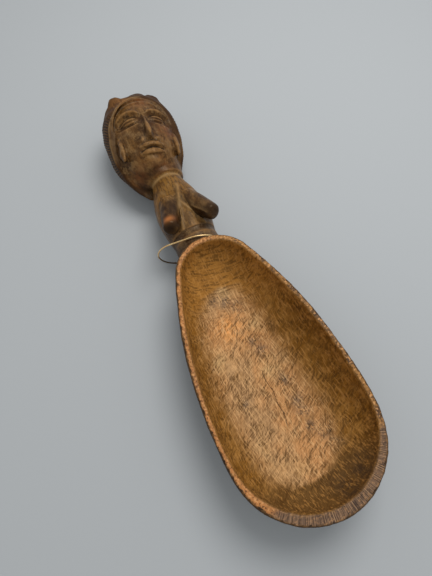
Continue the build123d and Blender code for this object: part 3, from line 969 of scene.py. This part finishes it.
# %% [markdown]
# ### Putting the finish together
# The three tones meet at the rim's edges, which are a little uneven. A dark band of painted shade lies
# round the rim's rounded outer edge. Rubbed edges and dirt come last, from the wear map. The sheen is
# soft and warm, duller in the hair, the bowl and on the rim. A shallow bump adds only what is too fine
# for the mesh: pores, grain and the bottoms of the strokes.

# %% Oiled wood
sheen_level, sheen_tint = 0.22, (1.0, 0.78, 0.52, 1)
relief_strength, relief_depth = 0.9, 0.25 * MM
rim_uneven, extra_roughness = 4, 0.22


def wood_relief(tree, seen, on):
    strokes = times(tree, maths(tree, "SUBTRACT", seen.second, seen.first), on["hollow"], 1.5)
    lines = maths(tree, "SUBTRACT", noise_middle, seen.end_lines)
    lines = times(tree, lines, on["rim"], on["lip_rim"])
    combing = times(tree, seen.comb, on["combed"], 0.6)
    grain = maths(tree, "MULTIPLY", seen.grain, -0.5)
    cut = maths(tree, "ADD", strokes, lines)
    height = maths(tree, "ADD", cut, maths(tree, "ADD", combing, grain))
    return maths(tree, "SUBTRACT", height, between(tree, seen.pores, 0.64, 0.76, 0, 0.5))


def oiled_wood(material):
    material.use_nodes = True
    tree = material.node_tree
    shader = tree.nodes["Principled BSDF"]
    fade = partial(between, tree)
    seen = wood_patterns(tree)
    on = {name: kept(tree, name) for name in (*patches, "combed", "edge")}
    sway = maths(tree, "MULTIPLY", maths(tree, "SUBTRACT", seen.mottle, noise_middle), rim_uneven)
    on_rim = fade(maths(tree, "ADD", on["outline"], sway), 0.7, 1.7)
    # Rubbed edges stay off the soot and off the painted shade.
    off_soot_and_shade = fade(on["soot_and_shade"], 0, 1, 1, 0.1)
    tone = colours(tree, on["hollow"], outside_tone(tree, seen, on), hollow_tone(tree, seen, on))
    tone = layered(
        tree, tone,
        # Painted shade: a dark band round the rim's rounded outer edge, which the rim's colours cover
        # further in.
        ("dark rim edge", (0.022, 0.012, 0.008), on["rim"]),
        ("rim", rim_tone(tree, seen, on), on["rim"], on_rim),
        ("rubbed edges", (0.320, 0.160, 0.052), fade(on["edge"], 0.08, 0.38, 0, 0.55), off_soot_and_shade),
        ("dirt", (0.016, 0.008, 0.004), fade(on["edge"], -0.10, -0.36, 0, 0.85)),
    )
    dull = maths(tree, "MAXIMUM", maths(tree, "MAXIMUM", on["hollow"], on["hair"]), on["rim"])
    roughness = maths(tree, "MULTIPLY", dull, extra_roughness)
    roughness = maths(tree, "ADD", fade(seen.blotch, 0.3, 0.7, 0.27, 0.46), roughness)
    plug(tree, tone, shader.inputs["Base Color"])
    plug(tree, roughness, shader.inputs["Roughness"])
    shader.inputs["Specular IOR Level"].default_value = sheen_level
    shader.inputs["Specular Tint"].default_value = sheen_tint
    bumped(tree, shader, wood_relief(tree, seen, on), relief_strength, relief_depth)
    return len(tree.nodes)


print("wood finish:", oiled_wood(wood_finish), "nodes")
for polygon in wood.data.polygons:
    polygon.use_smooth = True
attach(wood, "spoon")
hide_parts("carved_spoon")

# %% [markdown]
# ## The wire
# The loop is one length of round wire, bent by hand: three quarters of a turn close round the waist,
# two straight runs to the left, a round end, and its two ends lapped underneath. A curve could be drawn
# by eye, but here the line is worked out from those arcs and runs, so that it keeps clear of the wood.
# A node tree turns the line into a curve and draws a circle along it.

# %% The wire's line
wire_radius, waist_radius, play, lap_gap = 0.6, 17.5, 0.4, 0.25
loop_yaw, loop_y, loop_z, lap_angle = radians(16), bowl_tip + 3.2, 23.0, 45
end_radius, end_distance, end_angle = 15.9, 16.5, 189.0
seat_radius = (waist_radius + play + wire_radius) / cos(loop_yaw)
lap_radius = seat_radius + 2 * wire_radius + lap_gap
upper = end_angle - degrees(acos((seat_radius - end_radius) / end_distance))
lower = end_angle + degrees(acos((lap_radius - end_radius) / end_distance))
loop_middle = np.zeros(2)
end_middle = end_distance * np.array((cos(radians(end_angle)), sin(radians(end_angle))))


def arc(middle, radius, start, stop, step=3.0):
    angles = np.radians(np.linspace(start, stop, max(2, int(round((stop - start) / step)))))
    return middle + radius * np.stack((np.cos(angles), np.sin(angles)), axis=1)


def run(start, stop, step=1.0):
    """Points on the way from one place to another, without the two ends."""
    steps = max(2, np.hypot(*(stop - start)) / step)
    share = np.arange(1, int(steps))[:, None] / steps
    return start + share * (stop - start)


round_waist = arc(loop_middle, seat_radius, lower - 360, upper)
round_end = arc(end_middle, end_radius, upper, lower)
lapped = arc(loop_middle, lap_radius, lower, lower + lap_angle)
to_end, to_waist = run(round_waist[-1], round_end[0]), run(round_end[-1], lapped[0])
flat = np.concatenate((round_waist, to_end, round_end, to_waist, lapped))
sideways = np.array((cos(loop_yaw), -sin(loop_yaw), 0))
line = np.array((0, loop_y, loop_z)) + flat[:, :1] * sideways + flat[:, 1:] * np.array((0, 0, 1))
line_mesh = bpy.data.meshes.new("wire_line")
line_mesh.from_pydata((line * MM).tolist(), [(i, i + 1) for i in range(len(line) - 1)], [])
wire = bpy.data.objects.new("round_wire", line_mesh)
scene.collection.objects.link(wire)
wire_length = np.linalg.norm(np.diff(line, axis=0), axis=1).sum()
print("wire line:", len(line), "points,", round(float(wire_length)), "mm long")

# %% The tree of the wire
wire_sides = 16


def drawn_wire(material):
    tree, given, output = new_tree("drawn_wire", {"Wire radius": wire_radius * MM})
    curve = tree.nodes.new("GeometryNodeMeshToCurve")
    circle = tree.nodes.new("GeometryNodeCurvePrimitiveCircle")
    circle.inputs["Resolution"].default_value = wire_sides
    tube = tree.nodes.new("GeometryNodeCurveToMesh")
    tube.inputs["Fill Caps"].default_value = True
    plug(tree, given.outputs["Geometry"], curve.inputs["Mesh"])
    plug(tree, given.outputs["Wire radius"], circle.inputs["Radius"])
    plug(tree, curve.outputs[0], tube.inputs["Curve"])
    plug(tree, circle.outputs["Curve"], tube.inputs["Profile Curve"])
    ended(tree, tube.outputs[0], material, output)
    return tree


wire_finish = bpy.data.materials.new("handled_brass")
wire.modifiers.new("drawn_wire", "NODES").node_group = drawn_wire(wire_finish)
made_plain(wire)
form = bmesh.new()
form.from_mesh(wire.data)
bmesh.ops.remove_doubles(form, verts=form.verts, dist=1e-7)
bmesh.ops.recalc_face_normals(form, faces=form.faces)
print("wire:", len(form.faces), "faces,", sum(not e.is_manifold for e in form.edges), "open edges")
form.to_mesh(wire.data)
form.free()

# %% [markdown]
# ## The wire's finish
# Soft brass that has been handled for years is straw-coloured where fingers rub it, browner in between,
# with small dark specks. Low down the wire is painted nearly black as painted shade. Plain shiny metal
# would look new. So only part of it is metallic, and the colour and the roughness change with the
# tarnish.

# %% Handled brass
unshaded_above, black_shade_below = 23 * MM, 14 * MM
speck_depth = 0.05 * MM


def handled_brass(material):
    material.use_nodes = True
    tree = material.node_tree
    shader = tree.nodes["Principled BSDF"]
    fade = partial(between, tree)
    place = tree.nodes.new("ShaderNodeTexCoord").outputs["Object"]
    tarnish = cloud(tree, place, 5 * MM, 3, 0.6)
    specks = cloud(tree, place, 0.8 * MM, 2, 0.6)
    height = tree.nodes.new("ShaderNodeSeparateXYZ")
    plug(tree, place, height.inputs[0])
    # Painted shade: the wire is painted nearly black low down.
    painted_shade_low = fade(height.outputs["Z"], unshaded_above, black_shade_below, 0, 0.9)
    tone = colours(tree, fade(tarnish, 0.38, 0.62), (0.92, 0.64, 0.30), (0.74, 0.44, 0.17))
    tone = layered(
        tree, tone,
        ("specks", (0.24, 0.15, 0.07), fade(specks, 0.60, 0.72, 0, 0.6)),
        ("black below", (0.11, 0.062, 0.030), painted_shade_low),
    )
    plug(tree, tone, shader.inputs["Base Color"])
    plug(tree, fade(tarnish, 0.35, 0.65, 0.30, 0.46), shader.inputs["Roughness"])
    shader.inputs["Metallic"].default_value = 0.6
    bumped(tree, shader, specks, 0.5, speck_depth)
    return len(tree.nodes)


print("wire finish:", handled_brass(wire_finish), "nodes")
for polygon in wire.data.polygons:
    polygon.use_smooth = len(polygon.vertices) == 4
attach(wire, "loop")
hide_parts("wire_loop")
